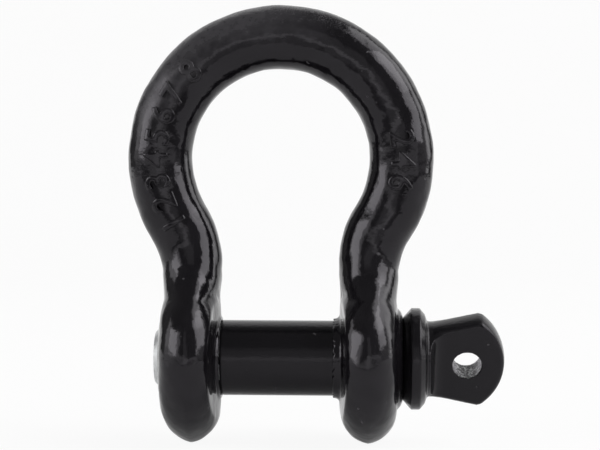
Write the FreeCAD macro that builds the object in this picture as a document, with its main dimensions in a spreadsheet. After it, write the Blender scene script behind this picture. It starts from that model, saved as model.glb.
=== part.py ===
# Bow shackle with a screw pin. Millimetres, +Z up, +X towards the eye of the pin.
# The origin is on the pin's axis, in the middle of the bow.
import FreeCAD, Part
import math
import os
import Sketcher

SHEET_NAME = "sheet"
TINY = 1e-7
LOOSE = 1e-3
ALONG_X = FreeCAD.Vector(1, 0, 0)
QUARTER_TURN = FreeCAD.Rotation(FreeCAD.Vector(0, 0, 1), 90)
BEND_SHARES = (0.0, 0.4, 0.7, 1.0)  # where the reverse bend's sections are, along its arc

# alias, value or formula: the driving dimensions and what follows from them
DIMENSIONS = [
    ("crown_radius", 35.0),          # of the bar's centreline round the crown
    ("crown_height", 58.0),          # centre of the crown above the pin
    ("bar_radius", 9.45),
    ("leg_offset", 25.6),            # centreline of a straight leg from the middle
    ("leg_top", 25.5),               # where the reverse bend ends
    ("leg_half_thickness", 8.7),
    ("leg_middle", 22.3),
    ("shoulder_height", 19.0),       # the leg has spread to the ear's rim here
    ("ear_neck_height", 15.0),
    ("leg_end", 11.0),               # the leg stops here, inside the ear
    ("sunk", 0.8),                   # how far the leg's edges have gone below the ear's rim
    ("sunk_sides", 0.3),             # and its sides below the ear's flanks
    ("ear_radius", 24.8),
    ("ear_fillet", 20.0),            # of the leg's edge above the ear, seen from the side
    ("ear_flat_radius", 15.0),       # beyond this the rim is rounded
    ("ear_half_thickness", 8.4),
    ("ring_core", 6.0),              # the turned faces start here; the bores take the rest
    ("ear_crown", 0.9),              # bulge of the outer flank at the pin's axis
    ("draft_slope", 0.235),          # forging draft of the inner flanks
    ("draft_ridge_half", 2.6),       # half width of the rounded parting ridge
    ("inner_face_left", 16.7),       # bearing face of the left ear
    ("inner_face_right", 15.2),      # bearing face of the right ear
    ("inner_lip_radius", 11.45),
    ("inner_lip_base_radius", 12.4),
    ("inner_lip_root", 21.5),        # the lip's cone starts here, inside the ear
    ("outer_cone_root", 28.0),       # the seat's cone starts here, inside the ear
    ("outer_cone_base_radius", 15.3),
    ("outer_cone_rim_radius", 14.1),
    ("outer_cone_rim", 34.9),
    ("outer_cone_face_radius", 12.2),
    ("outer_face", 35.6),            # where the collar seats
    ("shank_radius", 10.9),
    ("bore_clearance", 0.08),
    ("thread_radius", 10.7),
    ("thread_clearance", 0.07),
    ("thread_start", 16.9),          # from here to the tip the pin is threaded
    ("tip_length", 36.6),            # the tip from the middle of the bow
    ("tip_chamfer", 1.7),
    ("bore_chamfer", 0.25),
    ("collar_seat_radius", 12.0),
    ("collar_radius", 14.7),
    ("collar_rise", 2.4),            # length of the collar's chamfered side
    ("collar_thickness", 6.3),
    ("collar_back_radius", 12.9),
    ("neck_radius", 10.9),
    ("neck_start", 42.6),
    ("head_start", 44.0),
    ("head_corner", 57.7),
    ("head_half_width", 14.0),
    ("head_end", 64.9),
    ("head_half_thickness", 4.05),
    ("flat_start", 48.1),
    ("flat_runout_radius", 4.6),
    ("eye_centre", 54.0),
    ("eye_radius", 4.2),
    ("head_edge_break", 0.7),
    ("pin_turn", 24.0),              # degrees that the eye has stopped from upright
    ("bend_rise", "=crown_height-leg_top"),
    ("bend_radius", "=(leg_offset^2+bend_rise^2-crown_radius^2)/2/(crown_radius-leg_offset)"),
    ("bend_angle", "=asin(bend_rise/(crown_radius+bend_radius))"),
    ("fillet_height", "=sqrt((ear_radius+ear_fillet)^2-(bar_radius+ear_fillet)^2)"),
]


def filled_sheet(doc):
    table = doc.addObject("Spreadsheet::Sheet", SHEET_NAME)
    for row, (alias, value) in enumerate(DIMENSIONS, start=1):
        table.set(f"A{row}", alias)
        table.set(f"B{row}", str(value))
        table.setAlias(f"B{row}", alias)
    doc.recompute()
    return table


def new_body(doc, name):
    body = doc.addObject("PartDesign::Body", name)
    body.Label = name
    return body


def origin_plane(body, role):
    return next(item for item in body.Origin.OriginFeatures if item.Role == role)


def new_sketch(body, name, role):
    sketch = body.newObject("Sketcher::SketchObject", name)
    sketch.AttachmentSupport = (origin_plane(body, role), "")
    sketch.MapMode = "FlatFace"
    return sketch


def bind(target, path, expression):
    """Bind one property to dimensions; a word after # is an alias of the sheet."""
    target.setExpression(path, expression.replace("#", SHEET_NAME + "."))


def constrain(sketch, kind, where, expression):
    """Add one driving constraint, at its present size, and bind it to the sheet."""
    index = sketch.addConstraint(Sketcher.Constraint(kind, *where))
    bind(sketch, f"Constraints[{index}]", expression)


def present(document, expression):
    """The present value of an expression of the sheet's dimensions."""
    table = document.getObject(SHEET_NAME)
    return float(table.evalExpression(expression.replace("#", SHEET_NAME + ".")))


def place_point(sketch, geometry, end, point, along, across):
    """Hold a point at bound distances from its sketch's origin."""
    if abs(point.x) < TINY:
        sketch.addConstraint(Sketcher.Constraint("PointOnObject", geometry, end, -2))
    else:
        constrain(sketch, "DistanceX", (-1, 1, geometry, end, point.x), along)
    if abs(point.y) < TINY:
        sketch.addConstraint(Sketcher.Constraint("PointOnObject", geometry, end, -1))
    else:
        constrain(sketch, "DistanceY", (-1, 1, geometry, end, point.y), across)


def anticlockwise_arc(centre, start, end):
    """The arc from start to end, turning anticlockwise about the centre."""
    first = math.atan2(start.y - centre.y, start.x - centre.x)
    last = math.atan2(end.y - centre.y, end.x - centre.x)
    if last < first:
        last += 2 * math.pi
    circle = Part.Circle(centre, FreeCAD.Vector(0, 0, 1), start.distanceToPoint(centre))
    return Part.ArcOfCircle(circle, first, last)


def arc_centre(start, end, radius, side):
    """Centre of the shorter arc of that radius; side is 1 where it bulges left of travel."""
    chord = end - start
    left = FreeCAD.Vector(-chord.y, chord.x, 0).normalize()
    depth = (radius * radius - chord.Length * chord.Length / 4) ** 0.5
    return (start + end) * 0.5 - left * depth * side


def profile(sketch, corners):
    """Draw a closed profile whose corners and arc radii are bound to the sheet.

    A corner is (x, y) in expressions, or (x, y, radius, side) where an arc leaves it."""
    document = sketch.Document
    count = len(corners)
    points = [FreeCAD.Vector(present(document, c[0]), present(document, c[1]), 0) for c in corners]
    first = sketch.GeometryCount
    ends = []
    for i, corner in enumerate(corners):
        start, end = points[i], points[(i + 1) % count]
        if len(corner) == 2:
            sketch.addGeometry(Part.LineSegment(start, end))
            ends.append((1, 2))
            continue
        centre = arc_centre(start, end, present(document, corner[2]), corner[3])
        if corner[3] > 0:
            sketch.addGeometry(anticlockwise_arc(centre, end, start))
            ends.append((2, 1))
        else:
            sketch.addGeometry(anticlockwise_arc(centre, start, end))
            ends.append((1, 2))
    for i in range(count):
        after = (i + 1) % count
        joined = (first + i, ends[i][1], first + after, ends[after][0])
        sketch.addConstraint(Sketcher.Constraint("Coincident", *joined))
    for i, corner in enumerate(corners):
        place_point(sketch, first + i, ends[i][0], points[i], corner[0], corner[1])
        if len(corner) == 4:
            radius = present(document, corner[2])
            constrain(sketch, "Radius", (first + i, radius), corner[2])


def revolved(body, name, kind, corners):
    """Turn a profile, drawn as (along, radius) in the XZ plane, about the X axis."""
    sketch = new_sketch(body, name + "_profile", "XZ_Plane")
    profile(sketch, corners)
    feature = body.newObject(kind, name)
    feature.Profile = sketch
    feature.ReferenceAxis = (sketch, ["H_Axis"])
    feature.Angle = 360.0
    sketch.Visibility = False
    return feature


def cut_through(body, name, sketch):
    """Cut a sketch's outline through the whole body, both ways."""
    pocket = body.newObject("PartDesign::Pocket", name)
    pocket.Profile = sketch
    pocket.Type = "ThroughAll"
    pocket.SideType = "Symmetric"
    return pocket


def bow_path(body):
    """Centreline of the right half, from the crown's top to the straight leg."""
    document = body.Document
    sketch = new_sketch(body, "bow_path", "XZ_Plane")
    crown_radius = present(document, "#crown_radius")
    crown_height = present(document, "#crown_height")
    leg_offset = present(document, "#leg_offset")
    leg_top = present(document, "#leg_top")
    crown = FreeCAD.Vector(0, crown_height, 0)
    reverse = FreeCAD.Vector(leg_offset + present(document, "#bend_radius"), leg_top, 0)
    towards = (reverse - crown).normalize()
    meeting = crown + towards * crown_radius
    top = crown + FreeCAD.Vector(0, crown_radius, 0)
    foot = FreeCAD.Vector(leg_offset, leg_top, 0)
    sketch.addGeometry(anticlockwise_arc(crown, meeting, top))
    sketch.addGeometry(anticlockwise_arc(reverse, meeting, foot))
    sketch.addConstraint(Sketcher.Constraint("PointOnObject", 0, 3, -2))
    sketch.addConstraint(Sketcher.Constraint("PointOnObject", 0, 2, -2))
    constrain(sketch, "DistanceY", (-1, 1, 0, 3, crown_height), "#crown_height")
    constrain(sketch, "Radius", (0, crown_radius), "#crown_radius")
    sketch.addConstraint(Sketcher.Constraint("Tangent", 0, 1, 1, 1))
    constrain(sketch, "DistanceX", (-1, 1, 1, 2, leg_offset), "#leg_offset")
    constrain(sketch, "DistanceY", (-1, 1, 1, 2, leg_top), "#leg_top")
    sketch.addConstraint(Sketcher.Constraint("Horizontal", 1, 3, 1, 2))
    return sketch


def arc_name(path, pick):
    """The path's upper arc, with max, or its lower arc, with min."""
    path.Document.recompute()
    edges = enumerate(path.Shape.Edges, start=1)
    return pick((edge.BoundBox.ZMax, f"Edge{number}") for number, edge in edges)[1]


def draw_section(sketch, half_width, half_thickness):
    """Draw an ellipse about the sketch's origin, or a circle where both sizes agree."""
    wide = present(sketch.Document, half_width)
    thick = present(sketch.Document, half_thickness)
    centre = FreeCAD.Vector(0, 0, 0)
    if abs(wide - thick) < TINY:
        sketch.addGeometry(Part.Circle(centre, FreeCAD.Vector(0, 0, 1), wide))
        sketch.addConstraint(Sketcher.Constraint("Coincident", 0, 3, -1, 1))
        constrain(sketch, "Radius", (0, wide), half_width)
        return sketch
    major_end = FreeCAD.Vector(wide, 0, 0)
    minor_end = FreeCAD.Vector(0, thick, 0)
    sketch.addGeometry(Part.Ellipse(major_end, minor_end, centre))
    sketch.exposeInternalGeometry(0)
    sketch.addConstraint(Sketcher.Constraint("Coincident", 0, 3, -1, 1))
    sketch.addConstraint(Sketcher.Constraint("Horizontal", 1))
    constrain(sketch, "Distance", (1, 2 * wide), f"2*{half_width}")
    constrain(sketch, "Distance", (2, 2 * thick), f"2*{half_thickness}")
    return sketch


def square_section(body, name, path, arc, share, half_width, half_thickness):
    """A section square to an arc of the path, at a share of its length; its x is along -Y."""
    sketch = body.newObject("Sketcher::SketchObject", name)
    sketch.AttachmentSupport = (path, arc)
    sketch.MapMode = "FrenetNB"
    sketch.MapPathParameter = share
    sketch.AttachmentOffset = FreeCAD.Placement(FreeCAD.Vector(0, 0, 0), QUARTER_TURN)
    return draw_section(sketch, half_width, half_thickness)


def level_section(body, name, height, half_width, half_thickness):
    """A level section of the straight leg; its x is along -Y."""
    sketch = new_sketch(body, name, "XY_Plane")
    sketch.AttachmentOffset = FreeCAD.Placement(FreeCAD.Vector(0, 0, 0), QUARTER_TURN.inverted())
    bind(sketch, "AttachmentOffset.Base.x", "#leg_offset")
    bind(sketch, "AttachmentOffset.Base.z", height)
    return draw_section(sketch, half_width, half_thickness)


def crown_bar(body, path):
    """Right half of the crown: the round bar bent to an arc."""
    arc = arc_name(path, max)
    pipe = body.newObject("PartDesign::AdditivePipe", "crown")
    pipe.Profile = square_section(body, "crown_section", path, arc, 1.0,
                                  "#bar_radius", "#bar_radius")
    pipe.Spine = (path, [arc])
    return pipe


def half_width_at(height):
    """Half width of the bar at a height: constant, then a fillet down to the ear's rim."""
    drop = f"max(#fillet_height-({height}); 0)"
    return f"(#bar_radius+#ear_fillet-sqrt(#ear_fillet^2-({drop})^2))"


def sunk_half_width(height):
    """Half width of the leg where it runs on inside the ear."""
    return f"(sqrt(#ear_radius^2-({height})^2)-#sunk)"


def bend(body, path):
    """The reverse bend, where the round bar begins to flatten and spread."""
    arc = arc_name(path, min)
    sections = []
    for number, share in enumerate(BEND_SHARES, start=1):
        height = f"#leg_top+#bend_radius*sin(#bend_angle*{1 - share})"
        thickness = f"(#bar_radius-(#bar_radius-#leg_half_thickness)*{share ** 2})"
        sections.append(square_section(body, f"bend_section_{number}", path, arc, share,
                                       half_width_at(height), thickness))
    pipe = body.newObject("PartDesign::AdditivePipe", "bend")
    pipe.Profile = sections[0]
    pipe.Spine = (path, [arc])
    pipe.Transformation = "Multisection"
    pipe.Sections = sections[1:]
    return pipe


def leg(body):
    """The straight leg below the bend, spreading to the ear and running on inside it."""
    sections = [
        ("leg_top_section", "#leg_top", half_width_at("#leg_top"), "#leg_half_thickness"),
        ("leg_middle_section", "#leg_middle", half_width_at("#leg_middle"),
         "#leg_half_thickness"),
        ("shoulder_section", "#shoulder_height", half_width_at("#shoulder_height"),
         "#ear_half_thickness"),
        ("ear_neck_section", "#ear_neck_height", sunk_half_width("#ear_neck_height"),
         "#ear_half_thickness-#sunk_sides"),
        ("leg_end_section", "#leg_end", sunk_half_width("#leg_end"),
         "#ear_half_thickness-#sunk_sides"),
    ]
    sketches = [level_section(body, *section) for section in sections]
    loft = body.newObject("PartDesign::AdditiveLoft", "leg")
    loft.Profile = sketches[0]
    loft.Sections = sketches[1:]
    return loft


def ear_disc(body):
    """The flattened ear: a disc about the pin's axis with a rounded rim."""
    rim = ("((#ear_half_thickness)^2+(#ear_radius-#ear_flat_radius)^2)"
           "/(2*#ear_half_thickness)")
    crown = "((#ear_crown)^2+(#ear_flat_radius-#ring_core)^2)/(2*#ear_crown)"
    inner = "#leg_offset-#ear_half_thickness"
    outer = "#leg_offset+#ear_half_thickness"
    return revolved(body, "ear", "PartDesign::Revolution", [
        (inner, "#ring_core"),
        (inner, "#ear_flat_radius", rim, 1),
        ("#leg_offset", "#ear_radius", rim, 1),
        (outer, "#ear_flat_radius", crown, 1),
        (outer + "+#ear_crown", "#ring_core"),
    ])


def draft_section(body, name, height, ridge):
    """What the forging draft leaves off between the ears, at one height."""
    sketch = new_sketch(body, name, "XY_Plane")
    bind(sketch, "AttachmentOffset.Base.z", height)
    far = f"{ridge}+#draft_slope*(#ear_radius+5-#draft_ridge_half)"
    reach = "(#ear_radius+5)"
    arc = "#draft_ridge_half*sqrt(1+#draft_slope^2)/#draft_slope"
    profile(sketch, [
        ("1", "-" + reach),
        (far, "-" + reach),
        (ridge, "-#draft_ridge_half", arc, 1),
        (ridge, "#draft_ridge_half"),
        (far, reach),
        ("1", reach),
    ])
    return sketch


def inner_draft(body):
    """Draft both halves of the inner flank away from the parting plane, fading up the leg."""
    ridge = "#leg_offset-#ear_half_thickness+#draft_ridge_half*#draft_slope/2"
    lowest = draft_section(body, "draft_low", "-#ear_radius-5", ridge)
    middle = draft_section(body, "draft_middle", "#shoulder_height", ridge)
    highest = draft_section(body, "draft_high", "#leg_top+15", ridge + "-7")
    loft = body.newObject("PartDesign::SubtractiveLoft", "inner_draft")
    loft.Profile = lowest
    loft.Sections = [middle, highest]
    loft.Ruled = True
    return loft


def make_bow(doc):
    body = new_body(doc, "bow")
    path = bow_path(body)
    right_half = [
        crown_bar(body, path),
        bend(body, path),
        leg(body),
        ear_disc(body),
        inner_draft(body),
    ]
    mirrored = body.newObject("PartDesign::Mirrored", "left_half")
    mirrored.Originals = right_half
    mirrored.MirrorPlane = (origin_plane(body, "YZ_Plane"), [""])
    body.Tip = mirrored
    revolved(body, "right_lip", "PartDesign::Revolution", [
        ("#inner_face_right", "#ring_core"),
        ("#inner_face_right", "#inner_lip_radius"),
        ("#inner_lip_root", "#inner_lip_base_radius"),
        ("#inner_lip_root", "#ring_core"),
    ])
    revolved(body, "left_lip", "PartDesign::Revolution", [
        ("-#inner_face_left", "#ring_core"),
        ("-#inner_face_left", "#inner_lip_radius"),
        ("-#inner_lip_root", "#inner_lip_base_radius"),
        ("-#inner_lip_root", "#ring_core"),
    ])
    revolved(body, "collar_seat", "PartDesign::Revolution", [
        ("#outer_cone_root", "#ring_core"),
        ("#outer_cone_root", "#outer_cone_base_radius"),
        ("#outer_cone_rim", "#outer_cone_rim_radius"),
        ("#outer_face", "#outer_cone_face_radius"),
        ("#outer_face", "#ring_core"),
    ])
    bore = "(#shank_radius+#bore_clearance)"
    revolved(body, "plain_bore", "PartDesign::Groove", [
        ("#inner_face_right-1", "0"),
        ("#inner_face_right-1", bore + "+1+#bore_chamfer"),
        ("#inner_face_right+#bore_chamfer", bore),
        ("#outer_face-#bore_chamfer", bore),
        ("#outer_face+1", bore + "+1+#bore_chamfer"),
        ("#outer_face+1", "0"),
    ])
    thread = "(#thread_radius+#thread_clearance)"
    outside = "(#leg_offset+#ear_half_thickness+#ear_crown)"
    revolved(body, "threaded_bore", "PartDesign::Groove", [
        ("-#inner_face_left+1", "0"),
        ("-#inner_face_left+1", thread + "+1+#bore_chamfer"),
        ("-#inner_face_left-#bore_chamfer", thread),
        ("-" + outside + "+2*#bore_chamfer", thread),
        ("-" + outside + "-1", thread + "+1+2*#bore_chamfer"),
        ("-" + outside + "-1", "0"),
    ])
    return body


def break_head_edges(body):
    """Break the sharp edges round the eye's two flats and at the two corners of its end."""
    document = body.Document
    document.recompute()
    half = present(document, "#head_half_thickness")
    start = present(document, "#flat_start")
    corner = present(document, "#head_corner")
    eye_radius = present(document, "#eye_radius")
    base = body.Tip
    picked = []
    for number, edge in enumerate(base.Shape.Edges, start=1):
        box = edge.BoundBox
        on_flat = box.YLength < LOOSE and abs(abs(box.Center.y) - half) < LOOSE
        is_hole = edge.Closed and abs(box.XLength - 2 * eye_radius) < LOOSE
        on_outline = on_flat and not is_hole and box.XMax > start + LOOSE
        on_corner = box.XLength < LOOSE and abs(box.XMax - corner) < LOOSE
        if on_outline or on_corner:
            picked.append(f"Edge{number}")
    chamfer = body.newObject("PartDesign::Chamfer", "broken_edges")
    chamfer.Base = (base, picked)
    bind(chamfer, "Size", "#head_edge_break")
    return chamfer


def make_screw_pin(doc):
    body = new_body(doc, "screw_pin")
    end_round = ("((#head_half_width)^2+(#head_end-#head_corner)^2)"
                 "/(2*(#head_end-#head_corner))")
    revolved(body, "turned_pin", "PartDesign::Revolution", [
        ("-#tip_length", "0"),
        ("-#tip_length", "#thread_radius-#tip_chamfer"),
        ("-#tip_length+#tip_chamfer", "#thread_radius"),
        ("-#thread_start", "#thread_radius"),
        ("-#thread_start+0.3", "#shank_radius"),
        ("#outer_face", "#shank_radius"),
        ("#outer_face", "#collar_seat_radius"),
        ("#outer_face+#collar_rise", "#collar_radius"),
        ("#outer_face+#collar_thickness-1.5", "#collar_radius"),
        ("#outer_face+#collar_thickness", "#collar_back_radius"),
        ("#neck_start", "#neck_radius"),
        ("#head_start", "#neck_radius"),
        ("#head_corner", "#head_half_width", end_round, 1),
        ("#head_end", "0"),
    ])
    flats = new_sketch(body, "flats_profile", "XY_Plane")
    shoulder = "#flat_start-#flat_runout_radius"
    for side, bulge in (("", -1), ("-", 1)):
        profile(flats, [
            ("#head_end+5", side + "#head_half_thickness"),
            ("#head_end+5", side + "20"),
            (shoulder, side + "20"),
            (shoulder, side + "(#head_half_thickness+#flat_runout_radius)",
             "#flat_runout_radius", bulge),
            ("#flat_start", side + "#head_half_thickness"),
        ])
    cut_through(body, "flats", flats)
    eye = new_sketch(body, "eye_profile", "XZ_Plane")
    centre = FreeCAD.Vector(present(doc, "#eye_centre"), 0, 0)
    eye.addGeometry(Part.Circle(centre, FreeCAD.Vector(0, 0, 1), present(doc, "#eye_radius")))
    eye.addConstraint(Sketcher.Constraint("PointOnObject", 0, 3, -1))
    constrain(eye, "DistanceX", (-1, 1, 0, 3, centre.x), "#eye_centre")
    constrain(eye, "Radius", (0, present(doc, "#eye_radius")), "#eye_radius")
    cut_through(body, "eye", eye)
    break_head_edges(body)
    body.Placement = FreeCAD.Placement(FreeCAD.Vector(0, 0, 0), FreeCAD.Rotation(ALONG_X, 0))
    bind(body, "Placement.Rotation.Angle", "#pin_turn")
    return body


def check(doc):
    """Stop where any object failed, or a body has no valid solid."""
    for item in doc.Objects:
        if "Invalid" in item.State or "Error" in item.State:
            raise RuntimeError(f"{item.Name} failed: {item.State}")
    for body in doc.findObjects("PartDesign::Body"):
        shape = body.Shape
        if shape.isNull() or not shape.isValid() or len(shape.Solids) != 1:
            raise RuntimeError(f"{body.Label} isn't one valid solid")
        print(body.Label, round(shape.Volume), "mm3", shape.BoundBox)


def main():
    doc = FreeCAD.newDocument("bow_shackle")
    filled_sheet(doc)
    bodies = [make_bow(doc), make_screw_pin(doc)]
    doc.recompute()
    check(doc)
    os.makedirs("parts", exist_ok=True)
    for body in bodies:
        body.Shape.exportStep(f"parts/{body.Label}.step")


main()
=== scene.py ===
"""A bow shackle in gloss black paint, standing on its two ears in a white studio."""
import math

import bmesh
import bpy
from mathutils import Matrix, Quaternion, Vector, noise
from mathutils.bvhtree import BVHTree


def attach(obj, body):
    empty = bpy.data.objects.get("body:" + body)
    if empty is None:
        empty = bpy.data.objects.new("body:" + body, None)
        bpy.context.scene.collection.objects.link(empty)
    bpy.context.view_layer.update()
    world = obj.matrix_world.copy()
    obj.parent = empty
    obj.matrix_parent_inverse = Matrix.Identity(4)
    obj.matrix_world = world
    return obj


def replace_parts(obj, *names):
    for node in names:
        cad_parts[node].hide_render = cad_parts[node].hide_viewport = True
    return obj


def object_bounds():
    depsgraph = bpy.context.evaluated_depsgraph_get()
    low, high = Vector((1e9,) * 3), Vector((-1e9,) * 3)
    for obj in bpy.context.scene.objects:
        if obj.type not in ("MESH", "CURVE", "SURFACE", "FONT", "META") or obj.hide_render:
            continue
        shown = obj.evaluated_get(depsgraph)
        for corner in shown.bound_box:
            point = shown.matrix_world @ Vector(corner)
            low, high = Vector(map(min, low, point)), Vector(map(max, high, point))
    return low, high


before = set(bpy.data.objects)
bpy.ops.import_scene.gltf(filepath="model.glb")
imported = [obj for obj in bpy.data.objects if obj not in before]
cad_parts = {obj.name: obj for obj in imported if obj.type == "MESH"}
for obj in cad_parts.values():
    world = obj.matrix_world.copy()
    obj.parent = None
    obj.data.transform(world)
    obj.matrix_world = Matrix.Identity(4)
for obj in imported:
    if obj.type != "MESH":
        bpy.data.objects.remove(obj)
cad_low, cad_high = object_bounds()

MM = 0.001
SCENE = bpy.context.scene
JOIN_WITHIN = 0.002 * MM       # vertices closer than this become one
FULL_TURN = 2 * math.pi
PIN_AXIS = (1, 0, 0)

# The bow. Its dents are given by the size of a lump and the greatest depth.
CROWN_RADIUS = 35 * MM         # of the bar's middle line, which the numerals follow
CROWN_HEIGHT = 58 * MM
BORE_RADIUS = 10.98 * MM       # both bores, a little over the shank
BORE_DRAWN = BORE_RADIUS + 0.03 * MM   # the wall after softening
BORE_WALL = (BORE_RADIUS - 0.6 * MM, BORE_RADIUS + 0.05 * MM)   # radii that become the wall
BOW_VOXEL = 0.57 * MM
BROAD_DENTS = (8 * MM, 0.3 * MM)
SMALL_DENTS = (3.2 * MM, 0.1 * MM)
DENT_CONTRAST = 1.6            # stretches the noise before it is clipped
DENTS_START = 13 * MM          # from the pin's axis
DENTS_FADE = 3 * MM            # over which they reach their full depth

# The ears, each a thick disc about the pin with a rounded rim.
EAR_MIDDLE = 25.6 * MM         # from the middle of the bow
EAR_HALF = 8.4 * MM
EAR_RADIUS = 24.8 * MM
EAR_FLAT = 15 * MM             # beyond this the rim is rounded
EAR_ROUND = 9.917 * MM         # radius of the rim's rounding
EAR_HUB = 11.3 * MM            # inner radius of the added flank
EAR_DRAFT = 0.1                # how the flank leans away from the ridge, to front and back
EAR_RIDGE_HALF = 2.6 * MM
RIM_STEPS = 24                 # along the rim's rounding
FLANK_CUTS = 6                 # across the flat of a flank, so that it can lean
EAR_STEPS = 120                # flat steps round an ear

# The pin.
EYE_CENTRE = Vector((54, 0, 0)) * MM
EYE_RADIUS = 4.2 * MM
PIN_TURN = math.radians(24)    # how far the pin's eye is turned from upright
SHANK_END = -17.15 * MM        # where the paint stops and the thread begins
PIN_VOXEL = 0.34 * MM

# The thread at the pin's end, inside the left ear.
THREAD_CREST = 10.68 * MM
THREAD_DEPTH = 1.7 * MM
THREAD_PITCH = 2.8 * MM
THREAD_TURNS = 9
THREAD_STEPS = 48              # flat steps in one turn
THREAD_TIP = -36.1 * MM
THREAD_ROOT = -16.9 * MM       # just inside the shank's end
# One turn of the profile: the share of the pitch, and 0 at the root or 1 at the crest.
THREAD_PROFILE = ((0.0, 0), (0.125, 0), (0.5, 1), (0.625, 1), (1.0, 0))
TIP_CHAMFER = 3.2 * MM
EAR_THREAD = (-34.0 * MM, -17.6 * MM)
EAR_THREAD_PLAY = 0.12 * MM
EAR_THREAD_BACK = 11.4 * MM    # the back of the ear's thread, inside the ear

# The numerals on the front of the bar.
NUMERAL_HEIGHT = 7.2 * MM
NUMERAL_EM = 1.35              # the font's size for figures that are 1 high
NUMERAL_RELIEF = 0.85 * MM     # how far they stand out of the bar
NUMERAL_DEPTH = 1.5 * MM       # half their thickness, most of it inside the bar
NUMERAL_WEIGHT = 0.3 * MM      # added to each side of a stroke
NUMERAL_SPACING = math.radians(10.4)
NUMERAL_VOXEL = 0.23 * MM
NUMERAL_SMOOTHING = 3
# The figures and the angle round the crown where they start, read clockwise.
NUMERALS = (("1234567", math.radians(212)), ("89", math.radians(136)),
            ("246", math.radians(9)))

LAMP_AIM = Vector((0, 0, 0.03))     # a little above the pin

# Paint and metal.
PAINT_SHEEN = (0.97, 0.93, 1.0, 1.0)
ENAMEL_DARK = (0.0045, 0.004, 0.005, 1)
ENAMEL_PALE = (0.0075, 0.0068, 0.0082, 1)
ENAMEL_DUST_AND_HIGHLIGHT = (0.05, 0.048, 0.052, 1)
SATIN = (0.006, 0.0056, 0.0066, 1)
SATIN_DUST = (0.06, 0.058, 0.062, 1)
ZINC_STAIN = (0.03, 0.033, 0.03, 1)
ZINC = (0.34, 0.35, 0.345, 1)
STEEL_DARK = (0.45, 0.46, 0.46, 1)
STEEL_PALE = (0.78, 0.79, 0.8, 1)


# ---------------------------------------------------------------- shader nodes

class Wire:
    """One output socket. Arithmetic on it adds Math nodes to its tree."""

    def __init__(self, tree, socket):
        self.tree = tree
        self.socket = socket

    def math(self, operation, first, second=None):
        node = self.tree.nodes.new("ShaderNodeMath")
        node.operation = operation
        for place, value in enumerate((first, second)):
            if isinstance(value, Wire):
                self.tree.links.new(value.socket, node.inputs[place])
            elif value is not None:
                node.inputs[place].default_value = value
        return Wire(self.tree, node.outputs[0])

    def __add__(self, other):
        return self.math("ADD", self, other)

    def __radd__(self, other):
        return self.math("ADD", other, self)

    def __sub__(self, other):
        return self.math("SUBTRACT", self, other)

    def __rsub__(self, other):
        return self.math("SUBTRACT", other, self)

    def __mul__(self, other):
        return self.math("MULTIPLY", self, other)

    def at_least(self, other):
        return self.math("MAXIMUM", self, other)


class Nodes:
    """A node tree, with short ways to add what the finishes need."""

    def __init__(self, tree):
        self.tree = tree
        tree.nodes.clear()

    def add(self, kind, settings=None, output=0, **inputs):
        """Add a node: its settings first, then its sockets, named with _ for a space."""
        node = self.tree.nodes.new("ShaderNode" + kind)
        for name, value in (settings or {}).items():
            setattr(node, name, value)
        for name, value in inputs.items():
            socket = self.socket(node, name)
            if isinstance(value, Wire):
                self.tree.links.new(value.socket, socket)
            else:
                socket.default_value = value
        return Wire(self.tree, node.outputs[output]) if node.outputs else None

    @staticmethod
    def socket(node, name):
        """Find an input by its name, or by its number after a letter, as in n0."""
        if name[0] == "n" and name[1:].isdigit():
            return node.inputs[int(name[1:])]
        return node.inputs[name.replace("_", " ")]

    def ramp(self, value, low, high):
        """A soft step from 0 at low to 1 at high."""
        return self.add("MapRange", {"interpolation_type": "SMOOTHSTEP"}, Value=value,
                        From_Min=low, From_Max=high)

    def band(self, value, low, high, soft):
        """1 between low and high, with a soft step of a width at both ends."""
        return self.ramp(value, low - soft / 2, low + soft / 2) \
            * (1 - self.ramp(value, high - soft / 2, high + soft / 2))

    def mixed(self, amount, first, second):
        """A blend of two colours, which may be wires or plain colours."""
        return self.add("Mix", {"data_type": "RGBA"}, output=2, n0=amount, n6=first, n7=second)

    def axes(self, place):
        """The three parts of a place or a direction."""
        node = self.add("SeparateXYZ", Vector=place).socket.node
        return [Wire(self.tree, output) for output in node.outputs]

    def noise(self, place, scale, detail):
        """Noise whose scale is in lumps a metre."""
        return self.add("TexNoise", Vector=place, Scale=scale, Detail=detail)


def grey(level):
    return (level, level, level, 1.0)


def new_material(name):
    """An empty material, its nodes and the place on the object."""
    material = bpy.data.materials.new(name)
    material.use_nodes = True
    nodes = Nodes(material.node_tree)
    return material, nodes, nodes.add("TexCoord", output=3)


def finish_material(nodes, **surface):
    """Close a material with a Principled shader that has these sockets."""
    shader = nodes.add("BsdfPrincipled", **surface)
    nodes.add("OutputMaterial", Surface=shader)


def specks(nodes, place):
    """A few grains of dust."""
    return nodes.ramp(nodes.noise(place, 700, 0.0), 0.83, 0.85)


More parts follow.
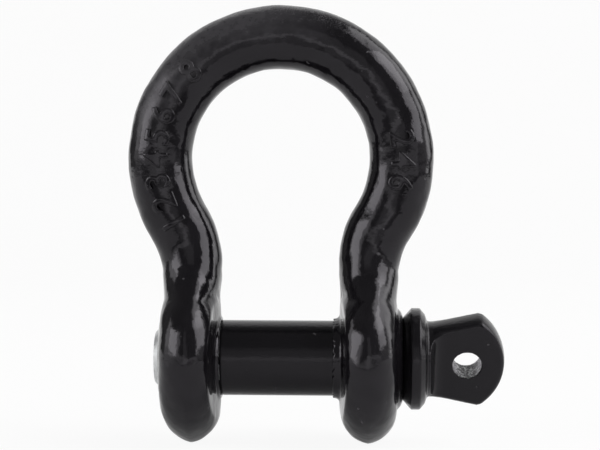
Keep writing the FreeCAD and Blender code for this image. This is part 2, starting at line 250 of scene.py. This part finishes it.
def black_paint():
    """Gloss black enamel over a forging: orange peel, soft sags, some dust, and a rough top and
    left shoulder whose colour is lightened as a painted highlight.
    """
    material, nodes, place = new_material("gloss_black_paint")
    sags = nodes.noise(place, 170, 2.0)
    peel = nodes.noise(place, 620, 3.0)
    grit = nodes.noise(place, 2600, 2.0)
    across, _, up = nodes.axes(place)
    # The spray fell dry and rough on the top of the crown, and the colour is lightened there as
    # a painted highlight.
    dry_top_and_highlight = nodes.ramp(up + (peel - 0.5) * 12 * MM, 92 * MM, 103 * MM)
    # The crown's outer left shoulder is dull, and the colour is lightened there as a painted
    # highlight.
    in_plane = nodes.add("VectorMath", {"operation": "MULTIPLY"}, n0=place, n1=Vector((1, 0, 1)))
    reach = nodes.add("VectorMath", {"operation": "DISTANCE"}, output=1, n0=in_plane,
                      n1=Vector((0, 0, CROWN_HEIGHT)))
    dull_shoulder_and_highlight = nodes.ramp(reach + (sags - 0.5) * 8 * MM, 32 * MM, 41 * MM) \
        * nodes.ramp(up, 60 * MM, 78 * MM) * (1 - nodes.ramp(across, -8 * MM, 18 * MM))
    # Rough paint on the top and the left shoulder; the same mask carries their painted
    # highlight.
    rough_and_highlight = (dry_top_and_highlight * nodes.ramp(grit, 0.45, 0.6)).at_least(dull_shoulder_and_highlight * (0.5 + peel * 0.7))
    height = sags * 0.6 + peel * 0.42 + grit * (0.05 + dry_top_and_highlight * 0.45)
    normal = nodes.add("Bump", Height=height, Distance=0.25 * MM, Strength=0.6)
    enamel = nodes.mixed(nodes.ramp(sags, 0.35, 0.7), ENAMEL_DARK, ENAMEL_PALE)
    # Painted highlight: the top and the left shoulder blend to a paler enamel, as the real dust
    # specks do.
    tone = nodes.mixed(rough_and_highlight.at_least(specks(nodes, place)), enamel, ENAMEL_DUST_AND_HIGHLIGHT)
    finish_material(nodes, Base_Color=tone, Roughness=0.05 + peel * 0.1 + rough_and_highlight * 0.25,
                    Normal=normal, Specular_IOR_Level=0.32, Specular_Tint=PAINT_SHEEN)
    return material


def pin_paint():
    """Satin black on the pin, rubbed to bare zinc in the hole of its eye."""
    material, nodes, place = new_material("satin_black_paint")
    peel = nodes.noise(place, 700, 3.0)
    grit = nodes.noise(place, 2400, 3.0)
    mottle = nodes.noise(place, 1700, 3.0)
    normal = nodes.add("Bump", Height=peel * 0.7 + grit * 0.3, Distance=0.16 * MM, Strength=0.6)
    # The distance from the hole's axis, with a ragged edge.
    axis = Vector((0, math.cos(PIN_TURN), math.sin(PIN_TURN)))
    offset = nodes.add("VectorMath", {"operation": "SUBTRACT"}, n0=place, n1=EYE_CENTRE)
    across = nodes.add("VectorMath", {"operation": "CROSS_PRODUCT"}, n0=offset, n1=axis)
    distance = nodes.add("VectorMath", {"operation": "LENGTH"}, output=1, n0=across)
    ragged = distance + (peel - 0.5) * 0.5 * MM
    bare = 1 - nodes.ramp(ragged, EYE_RADIUS - 0.05 * MM, EYE_RADIUS + 0.1 * MM)
    zinc = nodes.mixed(nodes.ramp(mottle, 0.42, 0.6), ZINC_STAIN, ZINC)
    satin = nodes.mixed(specks(nodes, place), SATIN, SATIN_DUST)
    finish_material(nodes, Base_Color=nodes.mixed(bare, satin, zinc), Metallic=bare * 0.7,
                    Roughness=0.1 + grit * 0.12 + bare * 0.15, Normal=normal,
                    Specular_IOR_Level=0.26, Specular_Tint=PAINT_SHEEN)
    return material


def bare_steel():
    """Zinc-plated thread: bright, finely mottled."""
    material, nodes, place = new_material("bare_steel")
    mottle = nodes.noise(place, 800, 3.0)
    normal = nodes.add("Bump", Height=mottle, Distance=0.05 * MM, Strength=0.4)
    finish_material(nodes, Base_Color=nodes.mixed(mottle, STEEL_DARK, STEEL_PALE),
                    Metallic=0.9, Roughness=0.28 + mottle * 0.2, Normal=normal)
    return material


# ---------------------------------------------------------------- pieces

def link(thing):
    SCENE.collection.objects.link(thing)
    return thing


def evaluated_mesh(thing):
    """The mesh that a thing has once its modifiers are applied."""
    bpy.context.view_layer.update()
    graph = bpy.context.evaluated_depsgraph_get()
    return bpy.data.meshes.new_from_object(thing.evaluated_get(graph))


def remeshed(mesh, voxel):
    """Even quads over a closed mesh, which also fuses shells that overlap."""
    holder = link(bpy.data.objects.new("holder", mesh))
    modifier = holder.modifiers.new("even_quads", "REMESH")
    modifier.mode = "VOXEL"
    modifier.voxel_size = voxel
    result = evaluated_mesh(holder)
    bpy.data.objects.remove(holder)
    return result


def join_close(work):
    bmesh.ops.remove_doubles(work, verts=work.verts, dist=JOIN_WITHIN)


def merged_copy(node):
    """A bmesh of a CAD node, with its loose triangles joined."""
    work = bmesh.new()
    work.from_mesh(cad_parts[node].data)
    join_close(work)
    return work


def plain_mesh(work, name):
    """Write a bmesh to a new mesh and free it."""
    mesh = bpy.data.meshes.new(name)
    work.to_mesh(mesh)
    work.free()
    return mesh


def even_copy(work, voxel):
    """The bmesh as one skin of even quads."""
    even = bmesh.new()
    even.from_mesh(remeshed(plain_mesh(work, "rough"), voxel))
    return even


def soften(work, passes=1):
    for _ in range(passes):
        bmesh.ops.smooth_vert(work, verts=work.verts, factor=0.5, use_axis_x=True,
                              use_axis_y=True, use_axis_z=True)


def everything(work):
    return work.verts[:] + work.edges[:] + work.faces[:]


def only_verts(parts):
    return [part for part in parts if isinstance(part, bmesh.types.BMVert)]


def rim_edges(work):
    return [edge for edge in work.edges if edge.is_boundary]


def outward_normals(work):
    bmesh.ops.recalc_face_normals(work, faces=work.faces)


def finished(work, name, finish, body, smooth=True):
    """Make an object of a bmesh that rides a body and has a finish."""
    piece = link(bpy.data.objects.new(name, plain_mesh(work, name)))
    piece.data.materials.append(finish)
    if smooth:
        piece.data.shade_smooth()
    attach(piece, body)
    return piece


def from_pin_axis(place):
    return math.hypot(place.y, place.z)


def set_radius(vertex, radius):
    """Move a vertex straight out from the pin's axis, or in, to a radius."""
    share = radius / from_pin_axis(vertex.co)
    vertex.co.y *= share
    vertex.co.z *= share


def crown_frame(angle):
    """Where the bar's middle line is at an angle round the crown, and its two directions."""
    outward = Vector((math.cos(angle), 0, math.sin(angle)))
    along = Vector((math.sin(angle), 0, -math.cos(angle)))
    centre = Vector((0, 0, CROWN_HEIGHT)) + outward * CROWN_RADIUS
    return centre, along, outward


def numeral(digit, angle, surface):
    """One raised figure as a thick solid, laid on the front of the bar at an angle round it."""
    curve = bpy.data.curves.new("figure", "FONT")
    curve.body = digit
    curve.align_x = "CENTER"
    curve.align_y = "CENTER"
    curve.size = NUMERAL_HEIGHT * NUMERAL_EM
    curve.extrude = NUMERAL_DEPTH
    curve.offset = NUMERAL_WEIGHT
    holder = link(bpy.data.objects.new("figure", curve))
    flat = evaluated_mesh(holder)
    bpy.data.objects.remove(holder)
    work = bmesh.new()
    work.from_mesh(remeshed(flat, NUMERAL_VOXEL))
    centre, along, outward = crown_frame(angle)
    for vertex in work.verts:
        right, up, thick = vertex.co
        spot = centre + along * right + outward * up
        in_front = Vector((spot.x, 2 * cad_low.y, spot.z))
        hit = surface.ray_cast(in_front, Vector((0, 1, 0)))[0]
        depth = hit.y if hit else 0.0
        vertex.co = Vector((spot.x, depth - NUMERAL_RELIEF + NUMERAL_DEPTH - thick, spot.z))
    soften(work, NUMERAL_SMOOTHING)
    outward_normals(work)
    return plain_mesh(work, "figure")


def raised_numerals(paint):
    """The figures forged on the front of the bar, where such bows carry their load and size."""
    solid = merged_copy("bow")
    surface = BVHTree.FromBMesh(solid)
    solid.free()
    work = bmesh.new()
    for figures, start in NUMERALS:
        for count, digit in enumerate(figures):
            work.from_mesh(numeral(digit, start - count * NUMERAL_SPACING, surface))
    finished(work, "raised_numerals", paint, "bow")


def lumps(place, size, depth):
    """An inward dent between nothing and a depth, from noise whose lumps have a size."""
    return depth * 0.5 * (1 + max(-1.0, min(1.0, DENT_CONTRAST * noise.noise(place / size))))


def fuller_flank(side):
    """The inner half of one ear's rim, with a gentler draft than its solid has."""
    inner_face = EAR_MIDDLE - EAR_HALF
    work = bmesh.new()
    low = work.verts.new((inner_face, 0, EAR_FLAT))
    swing = math.atan2(EAR_RADIUS - EAR_FLAT, EAR_ROUND - EAR_HALF)
    bmesh.ops.spin(work, geom=[low], cent=(inner_face + EAR_ROUND, 0, EAR_FLAT),
                   axis=(0, 1, 0), angle=swing, steps=RIM_STEPS, use_merge=False)
    high = max(work.verts, key=lambda vertex: vertex.co.z)
    hub = [work.verts.new((place, 0, EAR_HUB)) for place in (EAR_MIDDLE, inner_face)]
    for pair in ((high, hub[0]), hub, (hub[1], low)):
        work.edges.new(pair)
    bmesh.ops.subdivide_edges(work, edges=[work.edges.get((hub[1], low))], cuts=FLANK_CUTS)
    bmesh.ops.spin(work, geom=work.verts[:] + work.edges[:], cent=(0, 0, 0), axis=PIN_AXIS,
                   angle=FULL_TURN, steps=EAR_STEPS, use_merge=True)
    join_close(work)
    for vertex in work.verts:
        reach = max(0.0, abs(vertex.co.y) - EAR_RIDGE_HALF)
        drafted = inner_face + EAR_DRAFT * (EAR_RIDGE_HALF / 2 + reach)
        vertex.co.x = side * max(vertex.co.x, drafted)
    outward_normals(work)
    return plain_mesh(work, "flank")


def forged_bow(paint):
    """The bow: the CAD solid with fuller flanks on its ears, fused, softened and dented."""
    work = merged_copy("bow")
    for side in (1, -1):
        work.from_mesh(fuller_flank(side))
    work = even_copy(work, BOW_VOXEL)
    soften(work)
    work.normal_update()
    moves = []
    for vertex in work.verts:
        share = (from_pin_axis(vertex.co) - DENTS_START) / DENTS_FADE
        dent = lumps(vertex.co, *BROAD_DENTS) + lumps(vertex.co, *SMALL_DENTS)
        moves.append(vertex.normal * -dent * max(0.0, min(1.0, share)))
    for vertex, move in zip(work.verts, moves):
        vertex.co += move
        if BORE_WALL[0] < from_pin_axis(vertex.co) < BORE_WALL[1]:
            set_radius(vertex, BORE_DRAWN)
    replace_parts(finished(work, "forged_bow", paint, "bow"), "bow")


def thread_shell(low_end, high_end, play):
    """The surface of the pin's thread, moved out by some play and cut square at both ends."""
    start = THREAD_TIP - THREAD_PITCH
    root = THREAD_CREST - THREAD_DEPTH + play
    work = bmesh.new()
    line = [work.verts.new((start + share * THREAD_PITCH, 0, root + rise * THREAD_DEPTH))
            for share, rise in THREAD_PROFILE]
    edges = [work.edges.new(pair) for pair in zip(line, line[1:])]
    bmesh.ops.spin(work, geom=line + edges, cent=(0, 0, 0), axis=PIN_AXIS,
                   dvec=(THREAD_PITCH / THREAD_STEPS, 0, 0), angle=FULL_TURN * THREAD_TURNS,
                   steps=THREAD_STEPS * THREAD_TURNS, use_merge=False)
    join_close(work)
    for place, keep in ((low_end, "clear_inner"), (high_end, "clear_outer")):
        bmesh.ops.bisect_plane(work, geom=everything(work), plane_co=(place, 0, 0),
                               plane_no=PIN_AXIS, **{keep: True})
    return work


def pin_thread(steel):
    """The helical thread on the pin, with its chamfered tip."""
    work = thread_shell(THREAD_TIP, THREAD_ROOT, 0.0)
    for vertex in work.verts:
        limit = THREAD_CREST - TIP_CHAMFER + vertex.co.x - THREAD_TIP
        if from_pin_axis(vertex.co) > limit:
            set_radius(vertex, limit)
    bmesh.ops.holes_fill(work, edges=rim_edges(work), sides=0)
    outward_normals(work)
    finished(work, "pin_thread", steel, "screw_pin", smooth=False)


def ear_thread(steel):
    """The left ear's own thread: a sleeve with the pin's helix inside and a round back."""
    work = thread_shell(*EAR_THREAD, EAR_THREAD_PLAY)
    widened = bmesh.ops.extrude_edge_only(work, edges=rim_edges(work))["geom"]
    for vertex in only_verts(widened):
        set_radius(vertex, EAR_THREAD_BACK)
    bmesh.ops.bridge_loops(work, edges=rim_edges(work))
    outward_normals(work)
    finished(work, "ear_thread", steel, "bow", smooth=False)


def forged_pin(paint):
    """The screw pin from its thread to its eye: the CAD solid with its sharp edges softened."""
    work = merged_copy("screw_pin")
    bmesh.ops.bisect_plane(work, geom=everything(work), plane_co=(SHANK_END, 0, 0),
                           plane_no=PIN_AXIS, clear_inner=True)
    bmesh.ops.holes_fill(work, edges=rim_edges(work), sides=0)
    work = even_copy(work, PIN_VOXEL)
    soften(work)
    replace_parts(finished(work, "forged_pin", paint, "screw_pin"), "screw_pin")


# ---------------------------------------------------------------- studio

def white_paper():
    """Paper that looks evenly white and mirrors as white, and still takes the shadow."""
    material, nodes, place = new_material("white_paper")
    back = nodes.axes(place)[1]
    upright = nodes.ramp(back, 0.1, 0.4)
    by_camera, by_gloss, by_glass = [nodes.add("LightPath", output=number)
                                     for number in (0, 3, 6)]
    mirrored = by_gloss.at_least(by_glass) * (0.3 + upright * 0.7)
    paper = nodes.add("BsdfDiffuse", Color=grey(0.86))
    glow = nodes.add("Emission", Color=grey(1.0), Strength=1.0)
    seen = (by_camera * 0.92).at_least(mirrored)
    nodes.add("OutputMaterial", Surface=nodes.add("MixShader", Fac=seen, n1=paper, n2=glow))
    return material


def white_sweep():
    """The floor and the backdrop as one white sheet with a wide bend between them."""
    front = -0.28
    depth = 0.9
    bend = 0.4
    rise = 1.6
    width = 2.4
    floor = cad_low.z
    work = bmesh.new()
    near = work.verts.new((-width / 2, front, floor))
    foot = work.verts.new((-width / 2, depth, floor))
    work.edges.new((near, foot))
    bmesh.ops.spin(work, geom=[foot], cent=(0, depth, floor + bend), axis=(1, 0, 0),
                   angle=math.radians(90), steps=16, use_merge=False)
    top = max(work.verts, key=lambda vertex: vertex.co.z)
    raised = bmesh.ops.extrude_vert_indiv(work, verts=[top])["verts"]
    bmesh.ops.translate(work, verts=raised, vec=(0, 0, rise))
    strip = bmesh.ops.extrude_edge_only(work, edges=work.edges[:])["geom"]
    bmesh.ops.translate(work, verts=only_verts(strip), vec=(width, 0, 0))
    outward_normals(work)
    sheet = link(bpy.data.objects.new("white_sweep", plain_mesh(work, "white_sweep")))
    sheet.data.shade_smooth()
    sheet.data.materials.append(white_paper())


def room():
    """The room round the table: white behind, two soft boxes, dim in front and overhead."""
    world = bpy.data.worlds.new("room")
    SCENE.world = world
    world.use_nodes = True
    nodes = Nodes(world.node_tree)
    right, back, up = nodes.axes(nodes.add("TexCoord", output=0))
    turn = right.math("ARCTAN2", right, 0 - back)    # 0 to the front, positive to the right
    aside = right.math("ABSOLUTE", right)
    far_left, left, near_right, far_right = [math.radians(angle)
                                             for angle in (-100, -41, 62, 128)]

    left_box = nodes.band(turn, far_left, left, 0.17) * nodes.band(up, 0.09, 0.5, 0.05)
    right_box = nodes.band(turn, near_right, far_right, 0.2) * nodes.band(up, 0.0, 0.88, 0.06)
    high_or_back = nodes.ramp(up, 0.38, 0.6).at_least(nodes.ramp(turn, 1.7, 1.9))
    wall = nodes.band(up, -0.04, 0.09, 0.04) * nodes.band(turn, far_left, near_right, 0.17)
    middle = nodes.band(turn, -0.28, 0.28, 0.17) * (1 - nodes.ramp(up, 0.45, 0.6))
    around = 0.2 + left_box * 1.7 + right_box * (0.4 + high_or_back * 2.3) \
        + wall * 0.9 + middle * 0.35

    # The backdrop is brightest in the middle and falls off in two steps to each side.
    backdrop = (1 - nodes.ramp(aside, 0.28, 0.4)) * 0.4 \
        + (1 - nodes.ramp(aside, 0.6, 0.75)) * 0.5 + 0.1
    behind = nodes.ramp(back, 0.4, 0.6)
    level = around * (1 - behind) + behind * backdrop
    seen = level.at_least(nodes.add("LightPath", output=0))
    nodes.add("OutputWorld", Surface=nodes.add("Background", Color=grey(1.0), Strength=seen))


def turn_away(thing, direction, roll=0.0):
    """Turn a lamp or a camera so that it faces away from a direction."""
    thing.rotation_mode = "QUATERNION"
    level = direction.to_track_quat("Z", "Y")
    thing.rotation_quaternion = level @ Quaternion((0, 0, 1), roll)


def soft_lamp(name, place, size, power):
    """A soft box of a width and a height that faces the shackle."""
    data = bpy.data.lights.new(name, "AREA")
    data.shape = "RECTANGLE"
    data.size, data.size_y = size
    data.energy = power
    lamp = link(bpy.data.objects.new(name, data))
    lamp.location = place
    turn_away(lamp, Vector(place) - LAMP_AIM)


def place_camera():
    """A long lens almost level with the middle of the bow, a little to its right."""
    azimuth = math.radians(2.3)
    elevation = math.radians(1.3)
    roll = math.radians(0.19)
    distance = 0.5062
    target = Vector((5.65, 0, 38.62)) * MM
    data = bpy.data.cameras.new("camera")
    data.lens = 104.7
    data.clip_start = 0.01
    data.clip_end = 20
    camera = link(bpy.data.objects.new("camera", data))
    back = Vector((math.sin(azimuth) * math.cos(elevation),
                   -math.cos(azimuth) * math.cos(elevation), math.sin(elevation)))
    camera.location = target + back * distance
    turn_away(camera, back, roll)
    SCENE.camera = camera


place_camera()
SCENE.view_settings.view_transform = "Standard"
enamel = black_paint()
forged_bow(enamel)
raised_numerals(enamel)
forged_pin(pin_paint())
steel = bare_steel()
pin_thread(steel)
ear_thread(steel)
white_sweep()
room()
soft_lamp("left_box", (-1.0, -0.45, 0.33), (0.6, 0.5), 2.6)
soft_lamp("right_box", (0.95, -0.3, 0.6), (0.7, 0.9), 6.5)
